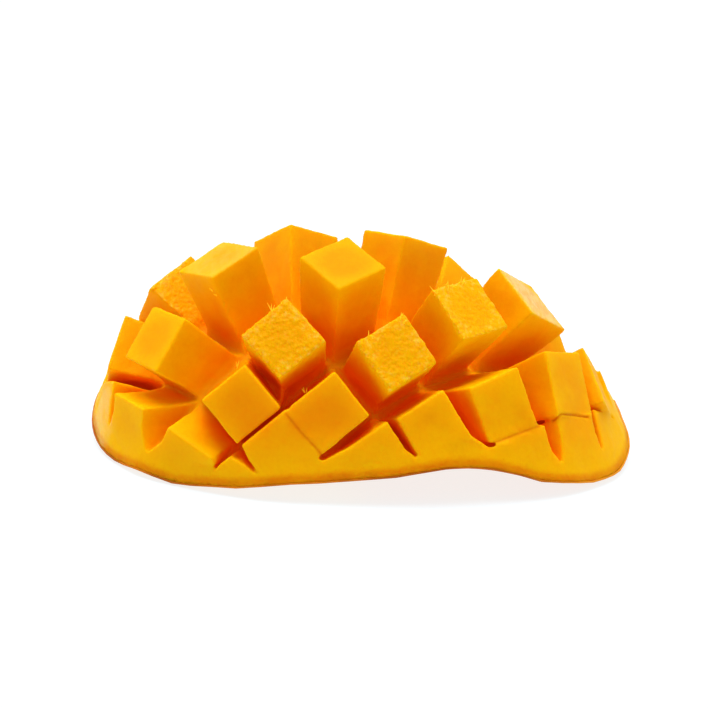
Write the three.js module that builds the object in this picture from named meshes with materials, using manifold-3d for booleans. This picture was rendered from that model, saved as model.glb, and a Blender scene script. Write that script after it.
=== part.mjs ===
// Mango cheek scored in diagonal squares and turned inside out.
// Millimetres, +Z up, long axis along X, seen face on from -Y.
// The cheek is made flat, scored, and then each square is leaned over on the skin.
import * as THREE from "three";
import Module from "manifold-3d";
import { mergeVertices } from "three/addons/utils/BufferGeometryUtils.js";

// flat cheek
const HALF_LENGTH = 55.3;
const HALF_WIDTH = 33;
const BACK_HALF_WIDTH = 39;
const OUTLINE_POWER = 2.4;
const OUTLINE_TURN = THREE.MathUtils.degToRad(8);
const WAIST_DEPTH = 3.4;
const WAIST_AT = 20;
const WAIST_REACH = 12.5;
const BELLY_DEPTH = 2.1;
const BELLY_AT = -24;
const BELLY_REACH = 17;
const FRUIT_HALF_THICKNESS = 30;
const CUT_OFF_CENTRE = 7.8;
const RIM_THICKNESS = 1.4;

// scoring
const SQUARE_SIDE = 12.7;
const LATTICE_STEP = SQUARE_SIDE / Math.SQRT2;
const LATTICE_X = 0.4;
const LATTICE_Y = 2.16;
const KERF = 0.4;
const FLOOR = 1.7;
const SCORED_RADIUS = 0.89;
const LONG_CUT_RADIUS = 0.93;
// cuts that stop short or run on: "slope number" with the first and the last column they reach
const CUT_ENDS = new Map([
  ["-1 -1", [-20, -0.95]],
  ["-1 3", [-20, 3.1]],
  ["1 1", [-0.15, 20]],
  ["1 3", [3.95, 20]],
]);
// cuts that run on into the plain band at the front
const LONG_CUTS = new Map([
  ["1 -1", [-2.75, 20]],
  ["-1 -3", [-20, -1.35]],
]);

// turning inside out
const SKIN_STRETCH = 1.13;
const LATTICE_TWIST = -5;
const HEEL = 1.6;
const INNER_REACH = 0.22;
const RIM_REACH = 0.5;
const RIM_FADE = 0.08;
const SETTLING_ROUNDS = 4000;
const FIRST_BACK_ROW = 4;
const BACK_ROW_SAY = 0.1;
// how much wider a square is at its top than at its foot, by lattice row, and more at the right
const FLARE_BY_ROW = new Map([[1, 0.08], [2, 0.13], [3, 0.16], [4, 0.16]]);
const RIGHT_END_COLUMN = 3;
const RIGHT_END_ROW = 2;
const RIGHT_END_FLARE = 0.1;

// lying on its rim
const LYING_PITCH = 7.3;
const LYING_ROLL = -4;

// mesh
const SEGMENTS_ROUND = 72;
const RIM_RINGS = [0.25, 0.45, 0.62, 0.75, 0.85, 0.92, 0.97];
const CHORD_ERROR = 0.37;
const SKIN_CHORD_ERROR = 0.7;
const SHORTEST_SPLIT = 2.5;

// leans in degrees, one line per lattice row from the front to the back:
// [column, lean to the front, lean to the right]
const LEANS_BY_ROW = new Map([
  [-1, [[-3, 80, -35], [-1, 67, 4], [1, 65, 15]]],
  [0, [[-4, 50, -62], [-2, 67, 3], [0, 66, 5], [2, 62, 18], [4, 50, 42]]],
  [1, [[-3, 28, -40], [-1, 50, 0], [1, 48, 15], [3, 55, 36], [5, 34, 52]]],
  [2, [[-4, -5, -75], [-2, 2, -20], [0, 16, 5], [2, 26, 28], [4, 27, 57]]],
  [3, [[-3, -26, -50], [-1, -43, -3], [1, -25, 12], [3, -5, 43], [5, -5, 66]]],
  [4, [[-2, -95, -20], [0, -90, -5], [2, -65, 12], [4, -83, 36]]],
  [5, [[-1, -120, -25], [1, -115, 0], [3, -95, 20]]],
]);

const fleshMaterial = new THREE.MeshStandardMaterial({ color: 0xf29a0c, roughness: 0.38, metalness: 0 });

function smoothstep(low, high, value) {
  const ramp = Math.min(1, Math.max(0, (value - low) / (high - low)));
  return ramp * ramp * (3 - 2 * ramp);
}

// 0 in the middle of the cut face, 1 on its rim, which has a shallow waist and a belly at the front
function radiusAt(s, t) {
  const u = s * Math.cos(OUTLINE_TURN) + t * Math.sin(OUTLINE_TURN);
  const v = t * Math.cos(OUTLINE_TURN) - s * Math.sin(OUTLINE_TURN);
  const waist = WAIST_DEPTH * Math.exp(-(((u - WAIST_AT) / WAIST_REACH) ** 2));
  const belly = BELLY_DEPTH * Math.exp(-(((u - BELLY_AT) / BELLY_REACH) ** 2));
  const frontHalfWidth = HALF_WIDTH + (belly - waist) * smoothstep(0, -HALF_WIDTH, v);
  const halfWidth = v > 0 ? BACK_HALF_WIDTH : frontHalfWidth;
  const across = Math.abs(v / halfWidth) ** OUTLINE_POWER;
  return (Math.abs(u / HALF_LENGTH) ** OUTLINE_POWER + across) ** (1 / OUTLINE_POWER);
}

// depth of flesh and skin under a place on the cut face
function depthAt(s, t) {
  return depthAtRadius(Math.min(1, radiusAt(s, t)));
}

function depthAtRadius(radius) {
  const rimShare = 1 - (CUT_OFF_CENTRE / FRUIT_HALF_THICKNESS) ** 2;
  const dome = FRUIT_HALF_THICKNESS * Math.sqrt(1 - rimShare * radius * radius);
  return dome - CUT_OFF_CENTRE + RIM_THICKNESS;
}

function centreOf(column, row) {
  return [LATTICE_STEP * (column - LATTICE_X), LATTICE_STEP * (row - LATTICE_Y)];
}

// the cheek as it is cut from the fruit, flat face up
function flatCheek() {
  const profile = [0, ...RIM_RINGS, 1].map((radius) => new THREE.Vector2(radius, -depthAtRadius(radius)));
  profile.push(new THREE.Vector2(1, 0));
  profile.push(new THREE.Vector2(0, 0));
  const cheek = new THREE.LatheGeometry(profile, SEGMENTS_ROUND);
  cheek.rotateX(Math.PI / 2);
  const position = cheek.getAttribute("position");
  for (let i = 0; i < position.count; i += 1) {
    const place = new THREE.Vector2(position.getX(i), position.getY(i));
    const radius = place.length();
    place.multiply(new THREE.Vector2(HALF_LENGTH, HALF_WIDTH));
    place.rotateAround(new THREE.Vector2(), OUTLINE_TURN);
    for (let round = 0; round < 12 && radius > 0; round += 1) {
      place.multiplyScalar(radius / radiusAt(place.x, place.y));
    }
    position.setXY(i, place.x, place.y);
  }
  return weld(cheek);
}

// one knife cut: a thin upright blade whose lower edge follows the skin
function bladeMesh(slope, number) {
  const name = `${slope} ${number}`;
  const offset = LATTICE_STEP * (number - LATTICE_X + slope * LATTICE_Y);
  const radiusLimit = LONG_CUTS.has(name) ? LONG_CUT_RADIUS : SCORED_RADIUS;
  const [firstColumn, lastColumn] = CUT_ENDS.get(name) ?? LONG_CUTS.get(name) ?? [-20, 20];
  const along = new THREE.Vector3(1, slope, 0).normalize();
  const up = new THREE.Vector3(0, 0, 1);
  const across = new THREE.Vector3().crossVectors(along, up);
  const start = new THREE.Vector3(offset / 2, -slope * (offset / 2), 0);
  const inside = (l) => {
    const column = (start.x + along.x * l) / LATTICE_STEP + LATTICE_X;
    const withinRim = radiusAt(start.x + along.x * l, start.y + along.y * l) < radiusLimit;
    return withinRim && column > firstColumn && column < lastColumn;
  };
  const reach = HALF_LENGTH + HALF_WIDTH;
  let from = -reach;
  let to = reach;
  while (from < reach && !inside(from)) from += 0.1;
  while (to > from && !inside(to)) to -= 0.1;
  if (to - from < SQUARE_SIDE * 0.5) return null;
  const shape = new THREE.Shape();
  shape.moveTo(to, 1);
  shape.lineTo(from, 1);
  const steps = Math.max(4, Math.round((to - from) / 4));
  for (let i = 0; i <= steps; i += 1) {
    const l = from + ((to - from) * i) / steps;
    const place = start.clone().addScaledVector(along, l);
    const ramp = Math.min(1, 0.35 + 0.65 * (Math.min(l - from, to - l) / 5));
    shape.lineTo(l, -Math.max(0.6, (depthAt(place.x, place.y) - FLOOR) * ramp));
  }
  const blade = new THREE.ExtrudeGeometry(shape, { depth: KERF, bevelEnabled: false });
  const frame = new THREE.Matrix4().makeBasis(along, up, across);
  frame.setPosition(start.addScaledVector(across, -KERF / 2));
  blade.applyMatrix4(frame);
  return weld(blade);
}

// shared corner places and the triangles between them, without the empty ones at a pole
function weld(geometry) {
  geometry.deleteAttribute("normal");
  geometry.deleteAttribute("uv");
  const merged = mergeVertices(geometry, 1e-4);
  const position = merged.getAttribute("position");
  const index = merged.getIndex();
  const places = [];
  const corners = [];
  for (let i = 0; i < position.count; i += 1) {
    places.push(new THREE.Vector3().fromBufferAttribute(position, i));
  }
  for (let i = 0; i < index.count; i += 3) {
    const [p, q, r] = [index.getX(i), index.getX(i + 1), index.getX(i + 2)];
    if (p !== q && q !== r && r !== p) corners.push(p, q, r);
  }
  return { places, corners };
}

function solidOf(wasm, mesh) {
  const vertProperties = new Float32Array(mesh.places.flatMap((place) => place.toArray()));
  const triVerts = new Uint32Array(mesh.corners);
  return new wasm.Manifold(new wasm.Mesh({ numProp: 3, vertProperties, triVerts }));
}

function scoredCheek(wasm) {
  let cheek = solidOf(wasm, flatCheek());
  for (const slope of [-1, 1]) {
    for (let number = -13; number <= 13; number += 2) {
      const blade = bladeMesh(slope, number);
      if (blade) cheek = cheek.subtract(solidOf(wasm, blade));
    }
  }
  const mesh = cheek.getMesh();
  const places = [];
  for (let i = 0; i < mesh.vertProperties.length; i += mesh.numProp) {
    places.push(new THREE.Vector3().fromArray(mesh.vertProperties, i));
  }
  return { places, corners: Array.from(mesh.triVerts) };
}

// squares of the lattice with their turns; rim squares lean like the ones beside them
function makeSquares() {
  const squares = new Map();
  const name = (column, row) => `${column} ${row}`;
  const add = (column, row, front, right) => {
    const [s, t] = centreOf(column, row);
    const lean = new THREE.Vector3(front, right, LATTICE_TWIST).multiplyScalar(Math.PI / 180);
    const turn = new THREE.Quaternion().setFromAxisAngle(lean.clone().normalize(), lean.length());
    const foot = new THREE.Vector3(s, t, 0);
    squares.set(name(column, row), { column, row, s, t, front, right, turn, foot });
  };
  for (const [row, line] of LEANS_BY_ROW) {
    for (const [column, front, right] of line) add(column, row, front, right);
  }
  const steps = [[1, 1], [1, -1], [-1, 1], [-1, -1]];
  for (let round = 0; round < 3; round += 1) {
    const found = new Map(squares);
    const fresh = new Map();
    for (const square of found.values()) {
      for (const [dx, dy] of steps) {
        const column = square.column + dx;
        const row = square.row + dy;
        if (!found.has(name(column, row))) fresh.set(name(column, row), [column, row]);
      }
    }
    for (const [column, row] of fresh.values()) {
      const beside = steps.map(([dx, dy]) => found.get(name(column + dx, row + dy))).filter(Boolean);
      const mean = (key) => beside.reduce((sum, one) => sum + one[key], 0) / beside.length;
      add(column, row, mean("front"), mean("right"));
    }
  }
  return squares;
}

// the feet settle until squares that share a corner of skin agree on where it is
function settle(squares) {
  const steps = [[1, 0], [0, 1], [-1, 0], [0, -1]];
  const shared = new Map();
  for (const square of squares.values()) {
    square.arms = steps.map(([dx, dy]) => {
      const key = `${square.column + dx} ${square.row + dy}`;
      if (!shared.has(key)) shared.set(key, new THREE.Vector3());
      const s = square.s + LATTICE_STEP * dx;
      const t = square.t + LATTICE_STEP * dy;
      const stretch = square.column >= 0 ? SKIN_STRETCH : 1;
      const drop = depthAt(square.s, square.t) - depthAt(s, t);
      const arm = new THREE.Vector3(LATTICE_STEP * dx * stretch, LATTICE_STEP * dy, drop);
      return { key, arm: arm.applyQuaternion(square.turn) };
    });
  }
  for (let round = 0; round < SETTLING_ROUNDS; round += 1) {
    const counts = new Map();
    for (const place of shared.values()) place.set(0, 0, 0);
    for (const square of squares.values()) {
      const say = square.row >= FIRST_BACK_ROW ? BACK_ROW_SAY : 1;
      for (const { key, arm } of square.arms) {
        shared.get(key).addScaledVector(square.foot, say).addScaledVector(arm, say);
        counts.set(key, (counts.get(key) ?? 0) + say);
      }
    }
    for (const [key, place] of shared) place.divideScalar(counts.get(key));
    for (const square of squares.values()) {
      const foot = new THREE.Vector3();
      for (const { key, arm } of square.arms) foot.add(shared.get(key)).sub(arm);
      square.foot = foot.divideScalar(square.arms.length);
    }
  }
}

// where a place of the flat cheek goes when one square carries it; a stiff one flares upwards
function carry(square, place, stiff = 1) {
  const depth = depthAt(square.s, square.t);
  const height = place.z + depth;
  const rise = smoothstep(FLOOR, depth, height);
  const atEnd = square.column >= RIGHT_END_COLUMN && square.row >= RIGHT_END_ROW;
  const flare = (FLARE_BY_ROW.get(square.row) ?? 0) + (atEnd ? RIGHT_END_FLARE : 0);
  const spread = 1 + flare * stiff * rise;
  const arm = new THREE.Vector3((place.x - square.s) * spread, (place.y - square.t) * spread, height);
  return arm.applyQuaternion(square.turn).add(square.foot);
}

// squares round a place with their shares, all equal where the lattice lines cross
function sharesAt(squares, place, reach) {
  const x = place.x / LATTICE_STEP + LATTICE_X;
  const y = place.y / LATTICE_STEP + LATTICE_Y;
  const a = (x + y) / 2;
  const b = (x - y) / 2;
  const [low, high] = [0.5 - reach, 0.5 + reach];
  const shares = [];
  for (const i of [Math.floor(a), Math.floor(a) + 1]) {
    for (const j of [Math.floor(b), Math.floor(b) + 1]) {
      const square = squares.get(`${i + j} ${i - j}`);
      const share = smoothstep(high, low, Math.abs(a - i)) * smoothstep(high, low, Math.abs(b - j));
      if (square && share > 0) shares.push({ square, share });
    }
  }
  return shares;
}

// turns one place inside out: stiff above the scored floor, supple in the skin and the rim
function turnOut(squares, place) {
  const radius = radiusAt(place.x, place.y);
  const height = place.z + depthAt(place.x, place.y);
  const scored = smoothstep(SCORED_RADIUS, SCORED_RADIUS - RIM_FADE, radius);
  const stiff = scored * smoothstep(FLOOR, FLOOR + HEEL, height);
  const shares = sharesAt(squares, place, THREE.MathUtils.lerp(RIM_REACH, INNER_REACH, scored));
  const total = shares.reduce((sum, one) => sum + one.share, 0);
  const own = shares.reduce((best, one) => (one.share > best.share ? one : best), shares[0]);
  const out = new THREE.Vector3();
  for (const { square, share } of shares) {
    const weight = (1 - stiff) * (share / total) + (square === own.square ? stiff : 0);
    out.addScaledVector(carry(square, place, stiff), weight);
  }
  return out;
}

function onSkin(place) {
  return place.z + depthAt(place.x, place.y) < FLOOR / 2;
}

// splits edges that would cut a corner once bent
function refine(squares, mesh) {
  const places = mesh.places.map((place) => place.clone());
  let corners = mesh.corners;
  const bent = places.map((place) => turnOut(squares, place));
  const verdicts = new Map();
  const middles = new Map();
  const needsSplit = (i, j) => {
    const key = i < j ? `${i} ${j}` : `${j} ${i}`;
    if (verdicts.has(key)) return verdicts.get(key);
    const length = places[i].distanceTo(places[j]);
    const allowed = onSkin(places[i]) && onSkin(places[j]) ? SKIN_CHORD_ERROR : CHORD_ERROR;
    let verdict = false;
    if (length > SHORTEST_SPLIT) {
      for (const part of [0.25, 0.5, 0.75]) {
        const flat = places[i].clone().lerp(places[j], part);
        const chord = bent[i].clone().lerp(bent[j], part);
        if (turnOut(squares, flat).distanceTo(chord) > allowed) verdict = true;
      }
    }
    verdicts.set(key, verdict);
    return verdict;
  };
  const middleOf = (i, j) => {
    const key = i < j ? `${i} ${j}` : `${j} ${i}`;
    if (!middles.has(key)) {
      const place = places[i].clone().add(places[j]).multiplyScalar(0.5);
      middles.set(key, places.length);
      places.push(place);
      bent.push(turnOut(squares, place));
    }
    return middles.get(key);
  };
  for (let round = 0; round < 8; round += 1) {
    const next = [];
    let splits = 0;
    for (let i = 0; i < corners.length; i += 3) {
      let [p, q, r] = corners.slice(i, i + 3);
      const marks = [needsSplit(p, q), needsSplit(q, r), needsSplit(r, p)];
      const count = marks.filter(Boolean).length;
      splits += count;
      if (count === 0) {
        next.push(p, q, r);
      } else if (count === 3) {
        const [u, v, w] = [middleOf(p, q), middleOf(q, r), middleOf(r, p)];
        next.push(p, u, w, q, v, u, r, w, v, u, v, w);
      } else {
        while (!(marks[0] && (count === 1 || marks[1]))) {
          [p, q, r] = [q, r, p];
          marks.push(marks.shift());
        }
        const u = middleOf(p, q);
        if (count === 1) {
          next.push(p, u, r, u, q, r);
        } else {
          const v = middleOf(q, r);
          next.push(u, q, v);
          if (places[p].distanceTo(places[v]) < places[u].distanceTo(places[r])) next.push(p, u, v, p, v, r);
          else next.push(p, u, r, u, v, r);
        }
      }
    }
    corners = next;
    if (splits === 0) break;
  }
  return { places: bent, corners };
}

function mangoHalf(wasm) {
  const squares = makeSquares();
  settle(squares);
  const mesh = refine(squares, scoredCheek(wasm));
  const geometry = new THREE.BufferGeometry().setFromPoints(mesh.places);
  geometry.setIndex(mesh.corners);
  geometry.rotateX(THREE.MathUtils.degToRad(LYING_PITCH));
  geometry.rotateY(THREE.MathUtils.degToRad(LYING_ROLL));
  geometry.computeBoundingBox();
  const box = geometry.boundingBox;
  geometry.translate(-(box.min.x + box.max.x) / 2, -(box.min.y + box.max.y) / 2, -box.min.z);
  geometry.computeVertexNormals();
  const half = new THREE.Mesh(geometry, fleshMaterial);
  half.name = "mango_half";
  return half;
}

const wasm = await Module();
wasm.setup();
const group = new THREE.Group();
group.name = "cubed_mango_half";
group.add(mangoHalf(wasm));
export default group;
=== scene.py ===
"""Dressed model of a mango cheek that is scored in squares and turned inside out.

Lengths are in metres and the frame is that of the CAD part: +X along the half, -Y towards the
side that the front blocks lean to, +Z up from the surface that the half rests on.
"""
import logging
import math
import random
import time
from dataclasses import dataclass, field
from enum import Enum
from typing import Any, Iterable

import bmesh
import bpy
import numpy as np
from mathutils import Matrix, Vector, noise
from mathutils.bvhtree import BVHTree
from mathutils.kdtree import KDTree


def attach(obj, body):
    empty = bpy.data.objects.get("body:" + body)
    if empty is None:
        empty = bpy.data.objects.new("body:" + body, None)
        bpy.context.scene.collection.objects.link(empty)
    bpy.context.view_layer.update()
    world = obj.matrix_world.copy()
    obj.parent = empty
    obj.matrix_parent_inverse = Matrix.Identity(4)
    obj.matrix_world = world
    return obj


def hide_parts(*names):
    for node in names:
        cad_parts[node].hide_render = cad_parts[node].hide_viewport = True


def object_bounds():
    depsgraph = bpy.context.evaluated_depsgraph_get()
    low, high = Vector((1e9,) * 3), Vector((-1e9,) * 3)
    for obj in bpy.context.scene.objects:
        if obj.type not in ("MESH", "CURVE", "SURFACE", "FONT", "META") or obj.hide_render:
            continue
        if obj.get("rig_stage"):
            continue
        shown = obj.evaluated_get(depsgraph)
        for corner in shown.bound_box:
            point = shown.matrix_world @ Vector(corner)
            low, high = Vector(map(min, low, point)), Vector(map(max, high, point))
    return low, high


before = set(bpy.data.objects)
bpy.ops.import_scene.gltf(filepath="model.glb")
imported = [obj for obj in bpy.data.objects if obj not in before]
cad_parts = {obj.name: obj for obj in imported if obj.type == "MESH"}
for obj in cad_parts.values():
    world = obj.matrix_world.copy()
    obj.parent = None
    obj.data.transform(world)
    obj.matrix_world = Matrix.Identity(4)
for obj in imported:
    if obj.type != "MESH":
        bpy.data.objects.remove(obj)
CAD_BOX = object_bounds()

LOG = logging.getLogger("mango")

NODE = "mango_half"
BODY = "root"
MM = 0.001

Colour = tuple[float, float, float, float]
BLACK: Colour = (0.0, 0.0, 0.0, 1.0)
WHITE: Colour = (1.0, 1.0, 1.0, 1.0)


# ------------------------------------------------------------------ small helpers

def deselect_all() -> None:
    """Leave edit mode and deselect every object."""
    if bpy.context.object and bpy.context.object.mode != "OBJECT":
        bpy.ops.object.mode_set(mode="OBJECT")
    bpy.ops.object.select_all(action="DESELECT")


def make_active(piece: bpy.types.Object) -> None:
    """Select one object alone and make it the active one."""
    deselect_all()
    piece.select_set(True)
    bpy.context.view_layer.objects.active = piece


def apply_modifier(piece: bpy.types.Object, kind: str, **settings: Any) -> None:
    """Add a modifier to a piece and apply it at once.

    Args:
        piece: The mesh object that is changed.
        kind: The modifier's type, such as "REMESH".
        settings: The modifier's properties.
    """
    make_active(piece)
    modifier = piece.modifiers.new(kind.lower(), kind)
    for name, value in settings.items():
        setattr(modifier, name, value)
    bpy.ops.object.modifier_apply(modifier=modifier.name)


def read(items: Any, name: str, width: int, kind: type = float) -> np.ndarray:
    """Return one property of all the items of a mesh.

    Args:
        items: The mesh's vertices, edges, faces or corners.
        name: The property.
        width: How many numbers it has.
        kind: The type of number.

    Returns:
        An array with a row for each item, or a plain one where the width is 1.
    """
    flat = np.empty(len(items) * width, dtype=kind)
    items.foreach_get(name, flat)
    return flat.reshape(-1, width) if width > 1 else flat


def coordinates(mesh: bpy.types.Mesh) -> np.ndarray:
    """Return the mesh's vertex places as an array of rows."""
    return read(mesh.vertices, "co", 3)


def set_coordinates(mesh: bpy.types.Mesh, places: np.ndarray) -> None:
    """Write an array of rows back as the mesh's vertex places."""
    mesh.vertices.foreach_set("co", places.ravel())
    mesh.update()


def normals(mesh: bpy.types.Mesh) -> np.ndarray:
    """Return the mesh's vertex normals as an array of rows."""
    return read(mesh.vertex_normals, "vector", 3)


def edge_ends(mesh: bpy.types.Mesh) -> np.ndarray:
    """Return the two vertex numbers of every edge as an array of rows."""
    return read(mesh.edges, "vertices", 2, np.int32)


def spread(values: np.ndarray, ends: np.ndarray, rounds: int) -> np.ndarray:
    """Blur values over a mesh by averaging each vertex with its neighbours.

    Args:
        values: One number, or one row of numbers, per vertex.
        ends: The two vertex numbers of every edge.
        rounds: How many times the averaging is done.

    Returns:
        The blurred values, in the shape of the ones given.
    """
    count = np.bincount(ends.ravel(), minlength=len(values)).astype(float)
    table = values.reshape(len(values), -1).astype(float)
    for _ in range(rounds):
        total = np.zeros_like(table)
        for column in range(table.shape[1]):
            one = table[:, column]
            total[:, column] = np.bincount(
                ends[:, 0], one[ends[:, 1]], len(values)) + np.bincount(
                ends[:, 1], one[ends[:, 0]], len(values))
        table = 0.5 * table + 0.5 * total / np.maximum(count, 1)[:, None]
    return table.reshape(values.shape)


def paint(mesh: bpy.types.Mesh, name: str, values: np.ndarray) -> None:
    """Store one number per vertex as a named attribute of the mesh."""
    layer = mesh.attributes.new(name, "FLOAT", "POINT")
    layer.data.foreach_set("value", np.ascontiguousarray(values, dtype=np.float32))


def fade(values: np.ndarray, start: float, end: float) -> np.ndarray:
    """Turn values into a smooth step that is 0 at start and 1 at end."""
    t = np.clip((values - start) / (end - start), 0, 1)
    return t * t * (3 - 2 * t)


def distance_to_points(places: np.ndarray, points: np.ndarray) -> np.ndarray:
    """Return how far each place is from the nearest of some points."""
    tree = KDTree(len(points))
    for number, point in enumerate(points):
        tree.insert(point, number)
    tree.balance()
    return np.array([tree.find(place)[2] for place in places])


def mesh_tree(mesh: bpy.types.Mesh) -> BVHTree:
    """Return a tree that finds the places on a mesh."""
    table = bmesh.new()
    table.from_mesh(mesh)
    tree = BVHTree.FromBMesh(table)
    table.free()
    return tree


def sight(piece: bpy.types.Object) -> BVHTree:
    """Return a tree that lines of sight can be tested against."""
    return BVHTree.FromObject(piece, bpy.context.evaluated_depsgraph_get())


def half_sphere(count: int) -> np.ndarray:
    """Return directions spread evenly over the upper half of a sphere, more near its top."""
    numbers = np.arange(count) + 0.5
    height = np.sqrt(1 - numbers / count)
    angle = numbers * math.pi * (1 + math.sqrt(5))
    flat = np.sqrt(1 - height ** 2)
    return np.stack([flat * np.cos(angle), flat * np.sin(angle), height], axis=1)


# ------------------------------------------------------------------ the camera

@dataclass
class Viewpoint:
    """Where the half is looked at from, and which pixel sees what.

    The target is the point on the lens's axis that shows at target_pixel.
    """

    location: Vector = field(default_factory=lambda: Vector((-13.57, -531.46, 181.30)) * MM)
    target: Vector = field(default_factory=lambda: Vector((-3.46, -48.33, 36.70)) * MM)
    up: Vector = field(default_factory=lambda: Vector((-0.0668, 0.2874, 0.9555)))
    picture: int = 708
    focal_pixels: float = 2423.0
    target_pixel: tuple[float, float] = (358.0, 357.0)
    sensor: float = 36.0

    def axes(self) -> tuple[Vector, Vector, Vector]:
        """Return the unit vectors to the right, up and forward."""
        forward = (self.target - self.location).normalized()
        right = forward.cross(self.up).normalized()
        return right, right.cross(forward), forward

    def ray(self, pixel: tuple[float, float]) -> Vector:
        """Return the direction in which a pixel of the picture looks."""
        right, up, forward = self.axes()
        across = (pixel[0] - self.target_pixel[0]) / self.focal_pixels
        down = (pixel[1] - self.target_pixel[1]) / self.focal_pixels
        return (forward + right * across - up * down).normalized()

    def build(self) -> bpy.types.Object:
        """Make the camera and give it to the scene.

        Returns:
            The camera object.
        """
        lens = bpy.data.cameras.new("camera")
        lens.sensor_width = self.sensor
        lens.lens = self.focal_pixels * self.sensor / self.picture
        middle = self.picture / 2
        lens.shift_x = -(self.target_pixel[0] - middle) / self.picture
        lens.shift_y = (self.target_pixel[1] - middle) / self.picture
        lens.clip_start = 0.01
        lens.clip_end = 20.0
        camera = bpy.data.objects.new("camera", lens)
        bpy.context.scene.collection.objects.link(camera)
        right, up, forward = self.axes()
        camera.matrix_world = Matrix.Translation(self.location) @ Matrix(
            (right, up, -forward)).transposed().to_4x4()
        bpy.context.scene.camera = camera
        return camera


# ------------------------------------------------------------------ shader maths

class Wire:
    """A shader socket that can be used in Python arithmetic."""

    def __init__(self, bench: "Bench", socket: bpy.types.NodeSocket) -> None:
        """Wrap an output socket of a material's node tree."""
        self.bench = bench
        self.socket = socket

    def maths(self, operation: str, *others: Any) -> "Wire":
        """Return this value and the others put through a Math node."""
        return self.bench.node(
            "ShaderNodeMath", {"operation": operation}, dict(enumerate((self, *others))))

    def __add__(self, other: Any) -> "Wire":
        """Return self + other."""
        return self.maths("ADD", other)

    def __radd__(self, other: Any) -> "Wire":
        """Return other + self."""
        return self.maths("ADD", other)

    def __mul__(self, other: Any) -> "Wire":
        """Return self * other."""
        return self.maths("MULTIPLY", other)

    def __rmul__(self, other: Any) -> "Wire":
        """Return other * self."""
        return self.maths("MULTIPLY", other)

    def __sub__(self, other: Any) -> "Wire":
        """Return self - other."""
        return self.maths("SUBTRACT", other)

    def __rsub__(self, other: Any) -> "Wire":
        """Return other - self."""
        return self.bench.node(
            "ShaderNodeMath", {"operation": "SUBTRACT"}, {0: other, 1: self})

    def clamped(self) -> "Wire":
        """Return the value held between 0 and 1."""
        return self.bench.node("ShaderNodeClamp", {}, {"Value": self})

    def between(self, low: float, high: float) -> "Wire":
        """Return a smooth step that is 0 at low and 1 at high."""
        return self.bench.node(
            "ShaderNodeMapRange", {"interpolation_type": "SMOOTHSTEP"},
            {"Value": self, "From Min": low, "From Max": high})


class Bench:
    """A material whose nodes are added one expression at a time."""

    def __init__(self, name: str) -> None:
        """Start a material that holds only its output."""
        self.material = bpy.data.materials.new(name)
        self.material.use_nodes = True
        self.tree = self.material.node_tree
        self.tree.nodes.clear()
        self.output = self.tree.nodes.new("ShaderNodeOutputMaterial")

    def node(self, kind: str, settings: dict[str, Any], inputs: dict[Any, Any],
             out: Any = 0) -> Wire:
        """Add one node of any kind.

        Args:
            kind: The node's type.
            settings: Its properties, which are set first.
            inputs: Values or wires by the name or the number of the socket.
            out: The name or the number of the socket that is returned.

        Returns:
            The chosen output as a wire.
        """
        made = self.tree.nodes.new(kind)
        for name, value in settings.items():
            setattr(made, name, value)
        for key, value in inputs.items():
            socket = made.inputs[key]
            if isinstance(value, Wire):
                self.tree.links.new(value.socket, socket)
            else:
                socket.default_value = value
        return Wire(self, made.outputs[out])

    def place(self) -> Wire:
        """Return the place on the piece, in metres."""
        return self.node("ShaderNodeTexCoord", {}, {}, out="Object")

    def stretched(self, scale: tuple[float, float, float],
                  turn: tuple[float, float, float] = (0, 0, 0)) -> Wire:
        """Return the place on the piece, turned and then stretched."""
        return self.node("ShaderNodeMapping", {},
                         {"Vector": self.place(), "Scale": scale, "Rotation": turn})

    def attribute(self, name: str) -> Wire:
        """Return a number that was painted on the mesh."""
        return self.node("ShaderNodeAttribute", {"attribute_name": name}, {}, out="Fac")

    def noise(self, size: float, detail: float = 3.0, roughness: float = 0.5,
              where: Wire | None = None) -> Wire:
        """Return a soft random value whose patches are about size metres wide."""
        return self.node("ShaderNodeTexNoise", {},
                         {"Vector": where or self.place(), "Scale": 1 / size,
                          "Detail": detail, "Roughness": roughness})

    def cells(self, size: float, feature: str) -> Wire:
        """Return the distance to the middle of cells about size metres wide."""
        return self.node("ShaderNodeTexVoronoi", {"feature": feature},
                         {"Vector": self.place(), "Scale": 1 / size}, out="Distance")

    def mix(self, share: Any, first: Any, second: Any) -> Wire:
        """Return two colours mixed by a share of the second one."""
        return self.node("ShaderNodeMix", {"data_type": "RGBA"},
                         {0: share, 6: first, 7: second}, out=2)

    def bump(self, height: Wire, strength: float, distance: float) -> Wire:
        """Return the normal that a height gives."""
        return self.node("ShaderNodeBump", {},
                         {"Height": height, "Strength": strength, "Distance": distance})

    def finish(self, surface: Wire) -> bpy.types.Material:
        """Connect the surface to the output and return the material."""
        self.tree.links.new(surface.socket, self.output.inputs["Surface"])
        return self.material


def colour(red: float, green: float, blue: float) -> Colour:
    """Turn a screen colour, 0 to 255 each, into the linear one that a socket takes."""
    def linear(value: float) -> float:
        """Undo the screen's curve for one channel."""
        share = value / 255
        return share / 12.92 if share <= 0.04045 else ((share + 0.055) / 1.055) ** 2.4
    return linear(red), linear(green), linear(blue), 1.0


# ------------------------------------------------------------------ finishes

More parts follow.
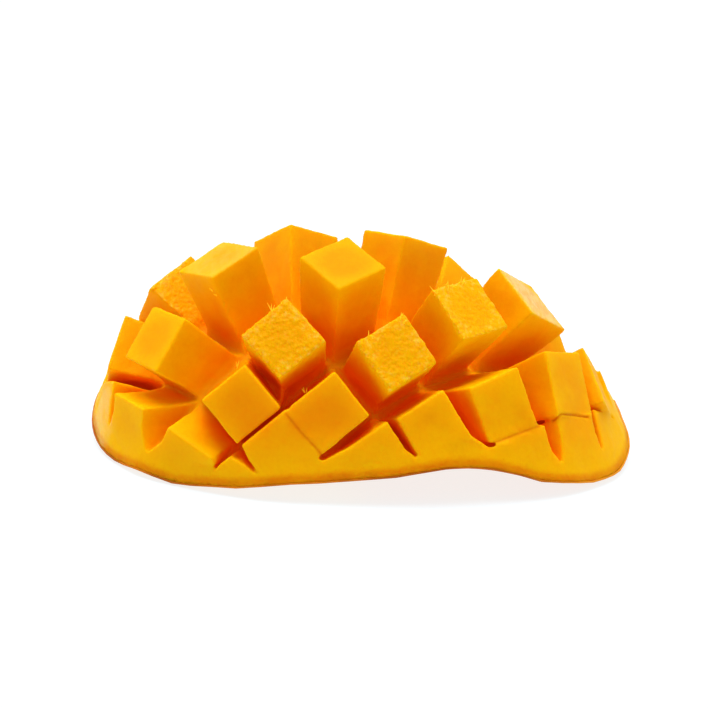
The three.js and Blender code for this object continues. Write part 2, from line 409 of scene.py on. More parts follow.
@dataclass(frozen=True)
class FleshFinish:
    """Moist orange flesh, yellower towards the rim, with painted shade that makes it redder and
    darker down in the cuts, a painted glow in the deepest cuts, painted highlights on the
    ridges and a painted sheen on the wet tops.
    """

    body: Colour = colour(251, 174, 0)
    deep: Colour = colour(246, 161, 0)
    # The deeper orange below is painted shade on some tops, most on the front tops, which get
    # less light.
    shaded_top: Colour = colour(244, 149, 0)
    band: Colour = colour(253, 180, 0)
    # Lighter yellow used for the painted highlight along the ridges, and to lighten the fibrous
    # tops.
    bright: Colour = colour(255, 189, 0)
    # The two colours below are painted shade, for points shut in by the blocks round them; the
    # first also tints a faint mottle.
    cut: Colour = colour(232, 114, 0)
    deep_cut_shade: Colour = colour(172, 26, 0)
    # Painted glow: emission deep in the cuts, standing in for light through the flesh.
    painted_cut_glow: Colour = (0.13, 0.006, 0.0, 1.0)
    rim: Colour = colour(232, 130, 0)
    # Pale crust on the fibrous tops' edges: partly the pale fibres, partly a painted wet
    # highlight.
    crust_and_highlight: Colour = colour(255, 200, 66)
    # Painted sheen on the wet tops.
    pale: Colour = colour(255, 206, 110)
    # Painted shade along the knife marks.
    line: Colour = colour(214, 96, 0)
    patch_size: float = 9 * MM
    fine_size: float = 1.1 * MM
    thread_size: float = 0.5 * MM
    thread_stretch: tuple[float, float, float] = (1, 1, 0.16)
    cell_size: float = 0.95 * MM
    wrinkle_size: float = 0.7 * MM
    streak_size: float = 1.3 * MM
    streak_stretch: tuple[float, float, float] = (1, 0.25, 1)
    streak_turn: tuple[float, float, float] = (0, 0, 0.5)
    mottle_size: float = 0.8 * MM
    bump_depth: float = 0.3 * MM
    light_reach: float = 2.2 * MM
    light_tint: tuple[float, float, float] = (1.0, 0.3, 0.05)

    def build(self) -> bpy.types.Material:
        """Make the material.

        Returns:
            The flesh material, which reads the painted attributes.
        """
        b = Bench("mango_flesh")
        grain = b.attribute("grain")
        pale = b.attribute("pale")
        fine = b.noise(self.fine_size, detail=4, roughness=0.6)
        leather = b.cells(self.cell_size, "SMOOTH_F1") * 0.9 + b.noise(self.wrinkle_size) * 0.7
        # Partly the pale fibres, partly a painted highlight along the fibrous tops' edges.
        crust_and_highlight = grain * b.attribute("glow").between(0.25, 0.7) * fine.between(0.47, 0.66)
        crumbs = grain * fine.between(0.55, 0.75) * 0.25
        base = b.mix(grain * 0.35, self.ground(b), self.bright)
        base = b.mix((crust_and_highlight * 0.6 + crumbs).clamped(), base, self.crust_and_highlight)
        # Painted sheen: pale streaks on the wet tops; the coat below adds real gloss there too.
        base = b.mix(self.sheen(b, pale), base, self.pale)
        base = b.mix(grain * (1 - leather.between(0.45, 0.9)) * 0.4, base, self.deep)
        mottle = b.noise(self.mottle_size).between(0.42, 0.62)
        base = b.mix(mottle * 0.07, base, self.cut)
        threads = b.noise(self.thread_size, detail=2, where=b.stretched(self.thread_stretch))
        height = fine * 0.5 + threads * 0.35 + grain * leather * 3.4
        surface = b.node("ShaderNodeBsdfPrincipled", {"subsurface_method": "RANDOM_WALK"}, {
            "Base Color": base,
            "Roughness": 0.42 + fine * 0.16 - grain * 0.1 - pale * 0.1,
            "Normal": b.bump(height, 0.4, self.bump_depth),
            "Specular IOR Level": 0.03,
            "Subsurface Weight": 0.7,
            "Subsurface Radius": self.light_tint,
            "Subsurface Scale": self.light_reach,
            "Coat Weight": (crust_and_highlight * 0.12 + pale * 0.45).clamped(),
            "Coat Roughness": 0.2,
            # Painted glow in the deepest cuts.
            "Emission Color": b.mix(b.attribute("depth").between(0.6, 1.0), BLACK, self.painted_cut_glow),
            "Emission Strength": 1.0,
        })
        return b.finish(surface)

    def ground(self, b: Bench) -> Wire:
        """Return the colour by where a point lies: on a block, band, rim, line or in a cut,
        with painted shade in the cuts, on the knife lines and on the front tops, and painted
        highlights on the ridges.
        """
        depth = b.attribute("depth")
        patches = b.noise(self.patch_size, roughness=0.55)
        base = b.mix(patches.between(0.38, 0.68), self.deep, self.body)
        # Painted shade: some tops deeper orange, the front ones most, as they get less light.
        base = b.mix(b.attribute("shaded_top") * 0.9, base, self.shaded_top)
        band = b.attribute("band") * (0.55 + patches * 0.8)
        base = b.mix(band.clamped(), base, self.band)
        # Painted highlight: ridges and block edges lighter, less so where they are shut in.
        ridge = b.attribute("glow") * 0.55 + b.attribute("edge") * 0.1
        lit = 1 - depth.between(0.3, 0.7)
        base = b.mix((ridge * lit).clamped(), base, self.bright)
        # Painted shade: redder and darker the more a point is shut in.
        base = b.mix(depth.between(0.4, 0.93) * 0.85, base, self.cut)
        base = b.mix(depth.between(0.86, 1.0) * 0.85, base, self.deep_cut_shade)
        # Browner towards the skin's border: partly the flesh by the skin, partly painted shade
        # where the band turns under.
        rim = b.attribute("rim") * (0.3 + patches * 1.1)
        base = b.mix(rim.clamped(), base, self.rim)
        # Painted shade along the knife marks.
        return b.mix(b.attribute("line") * 0.5, base, self.line)

    def sheen(self, b: Bench, pale: Wire) -> Wire:
        """Return the painted sheen on the wet tops: pale streaks where the surroundings would
        reflect.
        """
        where = b.stretched(self.streak_stretch, self.streak_turn)
        streaks = b.noise(self.streak_size, where=where)
        return (pale * (0.3 + streaks.between(0.4, 0.62) * 0.45)).clamped()


@dataclass(frozen=True)
class PeelFinish:
    """Thin ripe peel: smooth yellow with an orange blush and pale pores, brown at its edge."""

    ground: Colour = colour(233, 160, 30)
    blush: Colour = colour(222, 104, 24)
    green: Colour = colour(190, 160, 44)
    pore: Colour = colour(244, 204, 110)
    cut_edge: Colour = colour(206, 116, 4)
    bruise: Colour = colour(146, 66, 2)
    ripe_edge: Colour = colour(236, 156, 10)
    edge_glow: Colour = (0.05, 0.018, 0.0, 1.0)
    cloud_size: float = 32 * MM
    drift_size: float = 18 * MM
    pore_spacing: float = 2.6 * MM
    fine_size: float = 0.9 * MM
    ripe_from: float = 34 * MM
    ripe_to: float = 52 * MM
    bump_depth: float = 0.2 * MM
    light_reach: float = 0.8 * MM
    light_tint: tuple[float, float, float] = (1.0, 0.4, 0.1)

    def build(self) -> bpy.types.Material:
        """Make the material.

        Returns:
            The peel material, which reads the painted border.
        """
        b = Bench("mango_peel")
        border = b.attribute("border")
        drift = b.noise(self.drift_size, detail=4)
        fine = b.noise(self.fine_size)
        pores = 1 - b.cells(self.pore_spacing, "F1").between(0.08, 0.2)
        right = b.node("ShaderNodeSeparateXYZ", {}, {"Vector": b.place()}, out="X")
        ripe = right.between(self.ripe_from, self.ripe_to)
        clouds = b.noise(self.cloud_size)
        base = b.mix(clouds.between(0.42, 0.62), self.ground, self.blush)
        base = b.mix(drift.between(0.56, 0.75) * 0.45, base, self.green)
        base = b.mix(pores * 0.55, base, self.pore)
        base = b.mix((border * (0.6 + fine * 0.6)).clamped(), base, self.cut_edge)
        base = b.mix(border * drift.between(0.42, 0.6) * 0.8, base, self.bruise)
        base = b.mix(border * ripe * 0.8, base, self.ripe_edge)
        surface = b.node("ShaderNodeBsdfPrincipled", {"subsurface_method": "RANDOM_WALK"}, {
            "Base Color": base,
            "Roughness": 0.34 + fine * 0.12 + border * 0.2,
            "Normal": b.bump(fine * 0.3 - pores * 0.4, 0.3, self.bump_depth),
            "Specular IOR Level": 0.15,
            "Subsurface Weight": 0.15,
            "Subsurface Radius": self.light_tint,
            "Subsurface Scale": self.light_reach,
            "Emission Color": b.mix(border, BLACK, self.edge_glow),
            "Emission Strength": 1.0,
        })
        return b.finish(surface)


@dataclass(frozen=True)
class FibreFinish:
    """Pale threads that let light through."""

    thread: Colour = colour(255, 200, 40)
    glow: Colour = (0.34, 0.21, 0.004, 1.0)

    def build(self) -> bpy.types.Material:
        """Make the material and return it."""
        b = Bench("mango_fibre")
        surface = b.node("ShaderNodeBsdfPrincipled", {}, {
            "Base Color": self.thread, "Roughness": 0.45, "Specular IOR Level": 0.1,
            "Emission Color": self.glow, "Emission Strength": 1.0})
        return b.finish(surface)


@dataclass(frozen=True)
class FloorFinish:
    """Plain pale matt paper, lit a little from behind."""

    tone: Colour = (0.17, 0.24, 0.28, 1.0)
    shine: float = 0.8

    def build(self) -> bpy.types.Material:
        """Make the material and return it."""
        b = Bench("studio_floor")
        surface = b.node("ShaderNodeBsdfPrincipled", {}, {
            "Base Color": self.tone, "Roughness": 0.85, "Specular IOR Level": 0.1,
            "Emission Color": WHITE, "Emission Strength": self.shine})
        return b.finish(surface)


# ------------------------------------------------------------------ the half

def solid_copy(name: str) -> bpy.types.Object:
    """Copy the CAD solid and merge its loose triangles.

    Args:
        name: The new object's name.

    Returns:
        The copy, a closed mesh at the CAD solid's place.
    """
    deselect_all()
    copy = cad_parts[NODE].copy()
    copy.data = copy.data.copy()
    copy.name = name
    copy.data.name = name
    copy.parent = None
    for key in list(copy.keys()):
        if key.startswith("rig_"):
            del copy[key]
    copy.data.materials.clear()
    bpy.context.scene.collection.objects.link(copy)
    make_active(copy)
    bpy.ops.object.mode_set(mode="EDIT")
    bpy.ops.mesh.select_all(action="SELECT")
    bpy.ops.mesh.remove_doubles(threshold=1e-6)
    bpy.ops.object.mode_set(mode="OBJECT")
    return copy


def largest_part(piece: bpy.types.Object) -> bpy.types.Object:
    """Keep the largest of a mesh's unconnected parts and delete the others.

    Args:
        piece: The mesh object, which may hold closed pockets or crumbs.

    Returns:
        The object that holds the largest part, under the same name.
    """
    name = piece.name
    make_active(piece)
    bpy.ops.mesh.separate(type="LOOSE")
    parts = sorted(bpy.context.selected_objects, key=lambda part: len(part.data.vertices))
    LOG.info("%s: %d small parts dropped", name, len(parts) - 1)
    for part in parts[:-1]:
        bpy.data.objects.remove(part)
    parts[-1].name = name
    parts[-1].data.name = name
    return parts[-1]


@dataclass
class Peel:
    """The thin skin under the flesh, cut from the outside of the solid."""

    thickness: float = 0.34 * MM
    sharp: float = math.radians(50)
    crease: float = math.radians(40)
    downwards: float = 20 * MM
    smoothing: int = 12
    fullness: float = 0.6
    border_width: tuple[float, float] = (0.3 * MM, 2.2 * MM)

    def skin_faces(self, mesh: bmesh.types.BMesh) -> set[int]:
        """Find the faces of the solid's outside.

        The search starts underneath and stops at the sharp ridge round the cut face. What it
        leaves apart from the flesh, such as the tip of a fold, is taken in afterwards.

        Args:
            mesh: The merged solid.

        Returns:
            The numbers of the skin's faces.
        """
        mesh.faces.ensure_lookup_table()
        start = min(mesh.faces, key=lambda face: (
            face.calc_center_median().z + self.downwards * face.normal.z))
        skin = self.flood(start, set(), self.sharp)
        groups, seen = [], set(skin)
        for face in mesh.faces:
            if face.index not in seen:
                group = self.flood(face, seen, math.pi)
                seen |= group
                groups.append(group)
        for group in sorted(groups, key=len)[:-1]:
            skin |= group
        return skin

    def flood(self, start: bmesh.types.BMFace, closed: set[int], sharp: float) -> set[int]:
        """Spread from one face over its neighbours.

        Args:
            start: The first face.
            closed: Numbers of faces that aren't entered.
            sharp: An outward ridge steeper than this isn't crossed.

        Returns:
            The numbers of the faces that were reached.
        """
        reached, waiting = {start.index}, [start]
        while waiting:
            for edge in waiting.pop().edges:
                if edge.is_manifold and edge.calc_face_angle_signed() > sharp:
                    continue
                for other in edge.link_faces:
                    if other.index not in reached and other.index not in closed:
                        reached.add(other.index)
                        waiting.append(other)
        return reached

    def skin(self) -> bpy.types.Object:
        """Cut the outside off a copy of the solid and smooth it.

        Returns:
            The open skin surface, with its border on the ridge round the cut face.
        """
        surface = solid_copy("peel")
        make_active(surface)
        bpy.ops.object.mode_set(mode="EDIT")
        cut = bmesh.from_edit_mesh(surface.data)
        skin = self.skin_faces(cut)
        LOG.info("skin: %d of %d faces", len(skin), len(cut.faces))
        for face in cut.faces:
            face.select_set(face.index not in skin)
        bmesh.update_edit_mesh(surface.data)
        bpy.ops.mesh.delete(type="FACE")
        bpy.ops.mesh.select_all(action="SELECT")
        bpy.ops.mesh.subdivide(number_cuts=1)
        cut = bmesh.from_edit_mesh(surface.data)
        for vertex in cut.verts:
            vertex.select_set(not vertex.is_boundary)
        cut.select_flush(False)
        bmesh.update_edit_mesh(surface.data)
        bpy.ops.mesh.vertices_smooth(factor=0.5, repeat=self.smoothing)
        bpy.ops.mesh.select_all(action="SELECT")
        bpy.ops.mesh.subdivide(number_cuts=1, smoothness=self.fullness)
        bpy.ops.object.mode_set(mode="OBJECT")
        return surface

    def border(self, surface: bpy.types.Object) -> np.ndarray:
        """Return the places of the vertices on the skin's open border."""
        table = bmesh.new()
        table.from_mesh(surface.data)
        places = np.array([vertex.co[:] for vertex in table.verts if vertex.is_boundary])
        table.free()
        return places

    def build(self, surface: bpy.types.Object, border: np.ndarray) -> bpy.types.Object:
        """Give the skin its thickness, paint its border and dress it.

        Args:
            surface: The open skin surface.
            border: The places along its border.

        Returns:
            The peel, a closed thin shell.
        """
        apply_modifier(surface, "SOLIDIFY", thickness=self.thickness, offset=-1.0)
        distance = distance_to_points(coordinates(surface.data), border)
        paint(surface.data, "border", 1 - fade(distance, *self.border_width))
        self.dress(surface)
        return surface

    def dress(self, peel: bpy.types.Object) -> None:
        """Give the peel its finish and smooth shading."""
        peel.data.materials.append(PeelFinish().build())
        make_active(peel)
        bpy.ops.object.shade_smooth_by_angle(angle=self.crease)


@dataclass
class Bulk:
    """How much of the space round a point is fruit.

    The solid is filled into a grid of cells, and the grid is blurred. On a flat face the value
    is a half, on a ridge less, and down in a cut more.
    """

    step: float = 0.7 * MM
    margin: float = 14 * MM
    rays: int = 28
    ray_steps: int = 16
    ray_start: float = 1.3
    ray_stride: float = 1.2
    past_hit: float = 0.001 * MM
    low: np.ndarray = field(init=False)
    cells: np.ndarray = field(init=False)

    def fill(self, solid: bpy.types.Object) -> None:
        """Fill the grid from a closed mesh."""
        tree = mesh_tree(solid.data)
        places = coordinates(solid.data)
        self.low = places.min(axis=0) - self.margin
        size = np.ceil((places.max(axis=0) + self.margin - self.low) / self.step).astype(int)
        self.cells = np.zeros(tuple(size + 1), dtype=np.float32)
        for i in range(self.cells.shape[0]):
            for j in range(self.cells.shape[1]):
                start = Vector((self.low[0] + i * self.step, self.low[1] + j * self.step,
                                self.low[2]))
                for bottom, top in self.crossings(tree, start):
                    self.cells[i, j, bottom:top] = 1

    def crossings(self, tree: BVHTree, start: Vector) -> Iterable[tuple[int, int]]:
        """Yield the runs of cells that lie inside the solid above a point."""
        up = Vector((0, 0, 1))
        heights = []
        place = start
        while True:
            hit = tree.ray_cast(place, up)[0]
            if hit is None:
                break
            heights.append((hit.z - self.low[2]) / self.step)
            place = hit + up * self.past_hit
        for bottom, top in zip(heights[0::2], heights[1::2]):
            yield math.ceil(bottom), math.ceil(top)

    def blurred(self, reach: float) -> np.ndarray:
        """Return the grid blurred over about reach metres."""
        half = max(1, round(reach / self.step))
        width = 2 * half + 1
        grid = self.cells
        for _ in range(2):
            for axis in range(3):
                room = [(0, 0)] * 3
                room[axis] = (half + 1, half)
                total = np.cumsum(np.pad(grid, room), axis=axis)
                far = [slice(None)] * 3
                near = [slice(None)] * 3
                far[axis] = slice(width, None)
                near[axis] = slice(None, -width)
                grid = (total[tuple(far)] - total[tuple(near)]) / width
        return grid

    def at(self, places: np.ndarray, reach: float) -> np.ndarray:
        """Return the blurred value at each place, read between the cells."""
        grid = self.blurred(reach)
        where = (places - self.low) / self.step
        corner = np.floor(where).astype(int)
        share = where - corner
        value = np.zeros(len(places))
        for dx in (0, 1):
            for dy in (0, 1):
                for dz in (0, 1):
                    weight = np.abs(1 - dx - share[:, 0]) * np.abs(
                        1 - dy - share[:, 1]) * np.abs(1 - dz - share[:, 2])
                    value += weight * grid[corner[:, 0] + dx, corner[:, 1] + dy,
                                           corner[:, 2] + dz]
        return value

    def shade(self, places: np.ndarray, facing: np.ndarray) -> np.ndarray:
        """Return how much of the view outwards is shut off by fruit nearby.

        Args:
            places: Points on the surface.
            facing: The surface's direction at each of them.

        Returns:
            0 where the view is free and 1 down in a closed cut.
        """
        helper = np.where(np.abs(facing[:, :1]) < 0.7, [[1.0, 0.0, 0.0]], [[0.0, 1.0, 0.0]])
        side = np.cross(facing, helper)
        side /= np.linalg.norm(side, axis=1)[:, None]
        other = np.cross(facing, side)
        top = np.array(self.cells.shape) - 1
        shut = np.zeros(len(places))
        for x, y, z in half_sphere(self.rays):
            way = side * x + other * y + facing * z
            free = np.ones(len(places))
            for number in range(self.ray_steps):
                reach = self.step * (self.ray_start + number * self.ray_stride)
                where = np.rint((places + way * reach - self.low) / self.step).astype(int)
                where = np.clip(where, 0, top)
                solid = self.cells[where[:, 0], where[:, 1], where[:, 2]]
                free = free * (1 - solid * (1 - number / self.ray_steps))
            shut += 1 - free
        return shut / self.rays


class Surface(Enum):
    """What the top of a block is like, and which tops get painted shade or a painted sheen."""

    # Tops painted a deeper orange as shade, the front ones fully.
    DEEP = "deep"
    FIBROUS = "fibrous"
    # Wet tops with a painted sheen.
    WET_SHEEN = "wet"


@dataclass(frozen=True)
class Top:
    """The top of one block, found along the line of sight of a pixel."""

    name: str
    pixel: tuple[float, float]
    surface: Surface
    reach: float = 9.5 * MM
    strength: float = 1.0


TOPS = (
    Top("middle_left", (283, 337), Surface.FIBROUS),
    Top("middle_right", (392, 352), Surface.FIBROUS),
    Top("upper_right", (470, 312), Surface.FIBROUS),
    Top("far_right", (531, 300), Surface.WET_SHEEN, strength=1.0),
    Top("upper_left", (225, 258), Surface.WET_SHEEN, strength=0.22),
    Top("far_left", (172, 293), Surface.FIBROUS),
    Top("left_face", (102, 418), Surface.WET_SHEEN, reach=7 * MM, strength=0.33),
    Top("front_left", (240, 400), Surface.DEEP),
    Top("front_right", (330, 405), Surface.DEEP),
    Top("left_end", (157, 336), Surface.DEEP, strength=0.4),
    Top("crest", (342, 262), Surface.DEEP, strength=0.6),
)


@dataclass(frozen=True)
class KnifeLine:
    """A fine knife mark in the flesh, along what a row of pixels sees."""

    name: str
    pixels: tuple[tuple[float, float], ...]
    depth: float = 0.5 * MM
    half_width: float = 0.45 * MM
    samples: int = 60

    def places(self, tree: BVHTree, viewpoint: Viewpoint) -> np.ndarray:
        """Return the places on the flesh along the line."""
        found = []
        steps = np.linspace(0, len(self.pixels) - 1, self.samples)
        across = np.interp(steps, range(len(self.pixels)), [p[0] for p in self.pixels])
        down = np.interp(steps, range(len(self.pixels)), [p[1] for p in self.pixels])
        for pixel in zip(across, down):
            hit = tree.ray_cast(viewpoint.location, viewpoint.ray(pixel))[0]
            if hit is not None:
                found.append(tuple(hit))
        if not found:
            LOG.warning("no flesh along %s", self.name)
        return np.array(found)


KNIFE_LINES = (
    KnifeLine("right_crease", ((553, 421), (562, 414), (574, 415), (588, 417)), 0.6 * MM),
    KnifeLine("right_scratch", ((494, 443), (512, 436), (539, 426)), 0.22 * MM),
    KnifeLine("middle_seam", ((286, 414), (300, 431), (315, 447), (323, 457)), 0.2 * MM),
)


@dataclass
class Flesh:
    """The scored flesh: blocks with slightly rounded edges on the bent floor."""

    voxel: float = 0.3 * MM
    quick_voxel: float = 0.48 * MM
    opening: float = 0.1 * MM
    rounding: int = 10
    wave: float = 0.45 * MM
    wave_size: float = 7 * MM
    ripple: float = 0.15 * MM
    ripple_size: float = 1.6 * MM
    rag: float = 0.32 * MM
    rag_size: float = 1.9 * MM
    rag_reach: float = 1.4 * MM
    small_rag: float = 2.3
    under_peel: float = 0.32 * MM
    triangles: int = 190000
    unfold_rounds: int = 8
    shade_rounds: int = 10
    edge_reach: float = 0.9 * MM
    glow_reach: float = 3.2 * MM
    band_width: tuple[float, float] = (4 * MM, 14 * MM)
    rim_width: tuple[float, float] = (1.4 * MM, 2.9 * MM)
    line_width: tuple[float, float] = (0.1 * MM, 0.6 * MM)
    top_thickness: tuple[float, float] = (0.8 * MM, 1.6 * MM)
    top_facing: tuple[float, float] = (0.55, 0.85)
    top_fade: tuple[float, float] = (0.9, 1.1)

    def build(self, viewpoint: Viewpoint, bulk: Bulk, skin: BVHTree,
              border: np.ndarray) -> bpy.types.Object:
        """Make the flesh.

        Args:
            viewpoint: Where the tops are picked from.
            bulk: How much fruit is round each point.
            skin: The skin's surface.
            border: The places along the skin's border.

        Returns:
            The flesh, a closed mesh just inside the skin.
        """
        flesh = solid_copy("flesh")
        voxel = self.voxel
        apply_modifier(flesh, "DISPLACE", strength=-self.opening, mid_level=0.0)
        apply_modifier(flesh, "REMESH", mode="VOXEL", voxel_size=voxel)
        apply_modifier(flesh, "SMOOTH", factor=0.5, iterations=self.rounding)
        for name, strength, size in (("wave", self.wave, self.wave_size),
                                     ("ripple", self.ripple, self.ripple_size)):
            texture = bpy.data.textures.new(name, "CLOUDS")
            texture.noise_scale = size
            texture.noise_depth = 2
            apply_modifier(flesh, "DISPLACE", texture=texture, texture_coords="LOCAL",
                           strength=strength, mid_level=0.5)
        self.scratch(flesh, viewpoint)
        self.roughen(flesh, viewpoint, bulk)
        self.tuck(flesh, skin)
        LOG.info("flesh before thinning: %d faces", len(flesh.data.polygons))
        ratio = self.triangles / (2 * len(flesh.data.polygons))
        apply_modifier(flesh, "DECIMATE", ratio=min(1.0, ratio))
        flesh = largest_part(flesh)
        self.unfold(flesh.data)
        self.paint_all(flesh, viewpoint, bulk, border)
        self.dress(flesh)
        return flesh

    def dress(self, flesh: bpy.types.Object) -> None:
        """Give the flesh its finish and smooth shading."""
        flesh.data.materials.append(FleshFinish().build())
        make_active(flesh)
        bpy.ops.object.shade_smooth()

    def unfold(self, mesh: bpy.types.Mesh) -> None:
        """Relax the corners of the few faces that thinning has folded over."""
        ends = edge_ends(mesh)
        corners = read(mesh.loops, "vertex_index", 1, np.int32)
        sides = read(mesh.polygons, "loop_total", 1, np.int32)
        for _ in range(self.unfold_rounds):
            facing = np.repeat(read(mesh.polygons, "normal", 3), sides, axis=0)
            against = np.sum(facing * normals(mesh)[corners], axis=1) < 0
            if not against.any():
                break
            places = coordinates(mesh)
            loose = np.unique(corners[against])
            places[loose] = spread(places, ends, 1)[loose]
            set_coordinates(mesh, places)

    def scratch(self, flesh: bpy.types.Object, viewpoint: Viewpoint) -> None:
        """Press the knife marks into the surface."""
        places, facing = coordinates(flesh.data), normals(flesh.data)
        tree = sight(flesh)
        for line in KNIFE_LINES:
            marks = line.places(tree, viewpoint)
            if len(marks):
                distance = distance_to_points(places, marks)
                share = 1 - fade(distance, 0, line.half_width)
                places -= facing * (share * line.depth)[:, None]
        set_coordinates(flesh.data, places)

    def roughen(self, flesh: bpy.types.Object, viewpoint: Viewpoint, bulk: Bulk) -> None:
        """Make the edges of the fibrous tops ragged."""
        places, facing = coordinates(flesh.data), normals(flesh.data)
        near_edge = fade(bulk.at(places, self.rag_reach), 0.5, 0.3)
        share = self.top_masks(flesh, viewpoint, 1.3)[Surface.FIBROUS] * near_edge
        for number in np.flatnonzero(share > 0.02):
            place = Vector(places[number]) / self.rag_size
            lump = noise.noise(place) + 0.5 * noise.noise(place * self.small_rag)
            places[number] += facing[number] * share[number] * self.rag * lump
        set_coordinates(flesh.data, places)

    def tuck(self, flesh: bpy.types.Object, skin: BVHTree) -> None:
        """Move what touches the skin inwards, to just under the peel."""
        places = coordinates(flesh.data)
        for number, place in enumerate(places):
            found, normal, _, distance = skin.find_nearest(Vector(place), 3 * self.under_peel)
            if found is None:
                continue
            depth = (found - Vector(place)).dot(normal)
            if depth < self.under_peel and distance < 1.5 * self.under_peel:
                places[number] += np.array(normal) * (depth - self.under_peel)
        set_coordinates(flesh.data, places)

    def paint_all(self, flesh: bpy.types.Object, viewpoint: Viewpoint, bulk: Bulk,
                  border: np.ndarray) -> None:
        """Paint the numbers that the finish reads.

        Args:
            flesh: The finished mesh.
            viewpoint: Where the tops are picked from.
            bulk: How much fruit is round each point.
            border: The places along the skin's border.
        """
        mesh = flesh.data
        places = coordinates(mesh)
        to_border = distance_to_points(places, border)
        paint(mesh, "edge", fade(bulk.at(places, self.edge_reach), 0.47, 0.25))
        paint(mesh, "glow", fade(bulk.at(places, self.glow_reach), 0.48, 0.22))
        # How shut in each point is; the finish paints shade and a glow from it.
        shade = bulk.shade(places, normals(mesh))
        paint(mesh, "depth", spread(shade, edge_ends(mesh), self.shade_rounds))
        paint(mesh, "band", 1 - fade(to_border, *self.band_width))
        paint(mesh, "rim", 1 - fade(to_border, *self.rim_width))
        masks = self.top_masks(flesh, viewpoint)
        paint(mesh, "grain", masks[Surface.FIBROUS])
        paint(mesh, "pale", masks[Surface.WET_SHEEN])
        # The tops that get painted shade.
        paint(mesh, "shaded_top", masks[Surface.DEEP])
        tree = sight(flesh)
        marks = np.concatenate([line.places(tree, viewpoint) for line in KNIFE_LINES])
        paint(mesh, "line", 1 - fade(distance_to_points(places, marks), *self.line_width))

    def top_masks(self, flesh: bpy.types.Object, viewpoint: Viewpoint,
                  wider: float = 1.0) -> dict[Surface, np.ndarray]:
        """Find which vertices belong to the tops that have a surface of their own.

        Args:
            flesh: The flesh as it is so far.
            viewpoint: Where the tops are picked from.
            wider: How much further down the sides the tops count.

        Returns:
            One number per vertex, 0 to 1, for each kind of surface.
        """
        places, facing = coordinates(flesh.data), normals(flesh.data)
        masks = {kind: np.zeros(len(places)) for kind in Surface}
        thin, thick = (limit * wider for limit in self.top_thickness)
        steep, level = (limit / wider ** 4 for limit in self.top_facing)
        inner, outer = self.top_fade
        tree = sight(flesh)
        for top in TOPS:
            hit, normal, _, _ = tree.ray_cast(viewpoint.location, viewpoint.ray(top.pixel))
            if hit is None:
                LOG.warning("no flesh at the pixel of %s", top.name)
                continue
            offset = places - np.array(hit)
            height = np.abs(offset @ np.array(normal))
            away = np.linalg.norm(offset, axis=1)
            mask = (1 - fade(height, thin, thick)) * fade(
                facing @ np.array(normal), steep, level) * (
                1 - fade(away, top.reach * inner, top.reach * outer))
            masks[top.surface] = np.maximum(masks[top.surface], mask * top.strength)
        return masks


@dataclass(frozen=True)
class Tuft:
    """A few short fibres that stand out of the flesh where a pixel looks."""

    name: str
    pixel: tuple[float, float]
    count: int = 3
    length: float = 1.3 * MM


TUFTS = (
    Tuft("middle_left_edge", (271, 312), 3, 2.2 * MM),
    Tuft("middle_left_corner", (286, 302), 2, 1.0 * MM),
    Tuft("middle_right_corner", (402, 320), 3, 1.4 * MM),
    Tuft("middle_right_side", (371, 336), 2, 1.3 * MM),
    Tuft("front_left_corner", (238, 367), 3, 1.6 * MM),
    Tuft("front_right_corner", (306, 392), 3, 1.3 * MM),
    Tuft("upper_right_corner", (434, 293), 4, 1.6 * MM),
    Tuft("upper_right_edge", (448, 288), 4, 1.4 * MM),
    Tuft("upper_right_back", (461, 284), 4, 1.3 * MM),
    Tuft("upper_left_side", (214, 292), 2, 1.0 * MM),
)


@dataclass
class Fibres:
    """The short fibres that the knife pulled out of the flesh."""

    thickness: float = 0.14 * MM
    tip: float = 0.3
    sides: int = 7
    sunk: float = 1.3
    scatter: float = 0.7 * MM
    outwards: float = 0.6
    upwards: float = 0.8
    stray: float = 0.5
    lengths: tuple[float, float] = (0.6, 1.1)
    seed: int = 11

    def build(self, flesh: bpy.types.Object, viewpoint: Viewpoint) -> bpy.types.Object:
        """Make the fibres as tapered spikes rooted in the flesh.

        Args:
            flesh: The finished flesh.
            viewpoint: Where the tufts are picked from.

        Returns:
            All the fibres as one dressed object.
        """
        draw = random.Random(self.seed)
        tree = sight(flesh)
        spikes = []
        for tuft in TUFTS:
            hit, normal, _, _ = tree.ray_cast(viewpoint.location, viewpoint.ray(tuft.pixel))
            if hit is None:
                LOG.warning("no flesh at the pixel of %s", tuft.name)
                continue
            for _ in range(tuft.count):
                root = tree.find_nearest(hit + self.wander(draw) * self.scatter)[0]
                lean = normal * self.outwards + Vector((0, 0, self.upwards))
                lean = (lean + self.wander(draw) * self.stray).normalized()
                spikes.append(self.spike(root, lean, tuft.length * draw.uniform(*self.lengths)))
        make_active(spikes[0])
        for spike in spikes:
            spike.select_set(True)
        bpy.ops.object.join()
        bpy.ops.object.transform_apply(location=True, rotation=True, scale=True)
        piece = bpy.context.object
        piece.name = "fibres"
        piece.data.name = "fibres"
        self.dress(piece)
        return piece

    def spike(self, root: Vector, lean: Vector, length: float) -> bpy.types.Object:
        """Make one fibre.

        Args:
            root: Where it stands on the flesh.
            lean: The way it points.
            length: How far it stands out.

        Returns:
            The fibre, with its foot sunk a little into the flesh.
        """
        deselect_all()
        bpy.ops.mesh.primitive_cone_add(
            vertices=self.sides, radius1=self.thickness, radius2=self.thickness * self.tip,
            depth=length * self.sunk, location=root + lean * (length * 0.5),
            rotation=lean.to_track_quat("Z", "Y").to_euler())
        return bpy.context.object

    def dress(self, fibres: bpy.types.Object) -> None:
        """Give the fibres their finish and smooth shading."""
        fibres.data.materials.append(FibreFinish().build())
        bpy.ops.object.shade_smooth()

    def wander(self, draw: random.Random) -> Vector:
        """Return a random step of up to 1 along each axis."""
        return Vector((draw.uniform(-1, 1), draw.uniform(-1, 1), draw.uniform(-1, 1)))


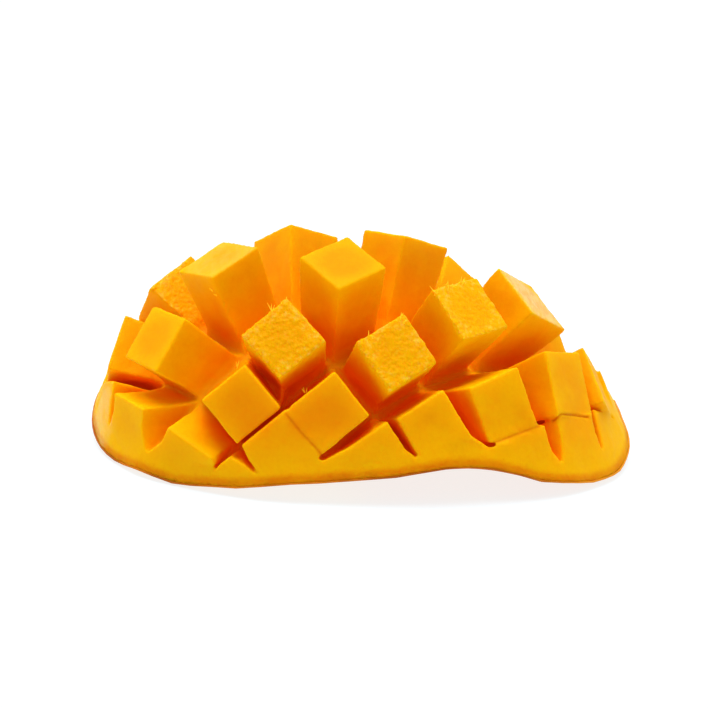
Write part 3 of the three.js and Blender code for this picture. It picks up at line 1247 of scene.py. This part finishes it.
@dataclass(frozen=True)
class Softbox:
    """A square lamp that points at the half."""

    name: str
    place: tuple[float, float, float]
    side: float
    watts: float
    target: tuple[float, float, float] = (0.0, 0.0, 0.02)

    def build(self) -> bpy.types.Object:
        """Make the lamp, turned towards the half.

        Returns:
            The lamp's object.
        """
        lamp = bpy.data.lights.new(self.name, "AREA")
        lamp.shape = "SQUARE"
        lamp.size = self.side
        lamp.energy = self.watts
        made = bpy.data.objects.new(self.name, lamp)
        bpy.context.scene.collection.objects.link(made)
        made.location = self.place
        aim = Vector(self.target) - Vector(self.place)
        made.rotation_mode = "QUATERNION"
        made.rotation_quaternion = aim.to_track_quat("-Z", "Y")
        return made


@dataclass(frozen=True)
class Ceiling:
    """Even soft light from above, the same all over the floor."""

    strength: float = 2.9
    spread: float = math.radians(50)
    lean: tuple[float, float, float] = (math.radians(-4), math.radians(-6), 0.0)

    def build(self) -> bpy.types.Object:
        """Make the lamp.

        Returns:
            The lamp's object.
        """
        lamp = bpy.data.lights.new("ceiling", "SUN")
        lamp.energy = self.strength
        lamp.angle = self.spread
        made = bpy.data.objects.new("ceiling", lamp)
        bpy.context.scene.collection.objects.link(made)
        made.rotation_euler = self.lean
        return made


@dataclass
class Studio:
    """The floor, the lamps and the pale surroundings."""

    floor_radius: float = 6.0
    floor_sides: int = 96
    surroundings: float = 0.36
    ceiling: Ceiling = field(default_factory=Ceiling)
    lamps: tuple[Softbox, ...] = (
        Softbox("left", (-0.9, 0.2, 0.5), 0.6, 1.6),
        Softbox("right", (0.9, 0.2, 0.5), 0.6, 1.5),
        Softbox("front", (0.1, -1.2, 0.4), 0.6, 0.85),
    )

    def build(self) -> None:
        """Make the floor and the lights."""
        deselect_all()
        bpy.ops.mesh.primitive_circle_add(vertices=self.floor_sides, radius=self.floor_radius,
                                          fill_type="NGON", location=(0, 0, 0))
        floor = bpy.context.object
        floor.name = "floor"
        floor.data.materials.append(FloorFinish().build())
        floor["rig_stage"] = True
        self.ceiling.build()
        for lamp in self.lamps:
            lamp.build()
        world = bpy.data.worlds.new("surroundings")
        bpy.context.scene.world = world
        world.use_nodes = True
        ground = world.node_tree.nodes["Background"]
        ground.inputs["Color"].default_value = WHITE
        ground.inputs["Strength"].default_value = self.surroundings
        bpy.context.scene.view_settings.view_transform = "Standard"


def write_sizes() -> None:
    """Turn the CAD box and the visual model's box into plain numbers."""
    boxes = {"cad": CAD_BOX, "visual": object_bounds()}
    {name: [list(corner) for corner in box] for name, box in boxes.items()}


def main() -> None:
    """Build the dressed half, its light and its camera."""
    logging.basicConfig(level=logging.INFO, format="%(message)s")
    began = time.time()
    viewpoint = Viewpoint()
    viewpoint.build()
    solid = solid_copy("measure")
    bulk = Bulk()
    bulk.fill(solid)
    bpy.data.objects.remove(solid)
    LOG.info("bulk: %.0f s", time.time() - began)
    peel = Peel()
    surface = peel.skin()
    border = peel.border(surface)
    skin = mesh_tree(surface.data)
    flesh_piece = Flesh().build(viewpoint, bulk, skin, border)
    LOG.info("flesh: %d triangles, %.0f s", len(flesh_piece.data.polygons),
             time.time() - began)
    peel_piece = peel.build(surface, border)
    LOG.info("peel: %d faces, %.0f s", len(peel_piece.data.polygons), time.time() - began)
    fibres_piece = Fibres().build(flesh_piece, viewpoint)
    LOG.info("fibres: %d faces", len(fibres_piece.data.polygons))
    for piece in (flesh_piece, peel_piece, fibres_piece):
        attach(piece, BODY)
    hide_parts(NODE)
    Studio().build()
    write_sizes()
    LOG.info("scene: %.0f s", time.time() - began)


if __name__ == "__main__":
    main()
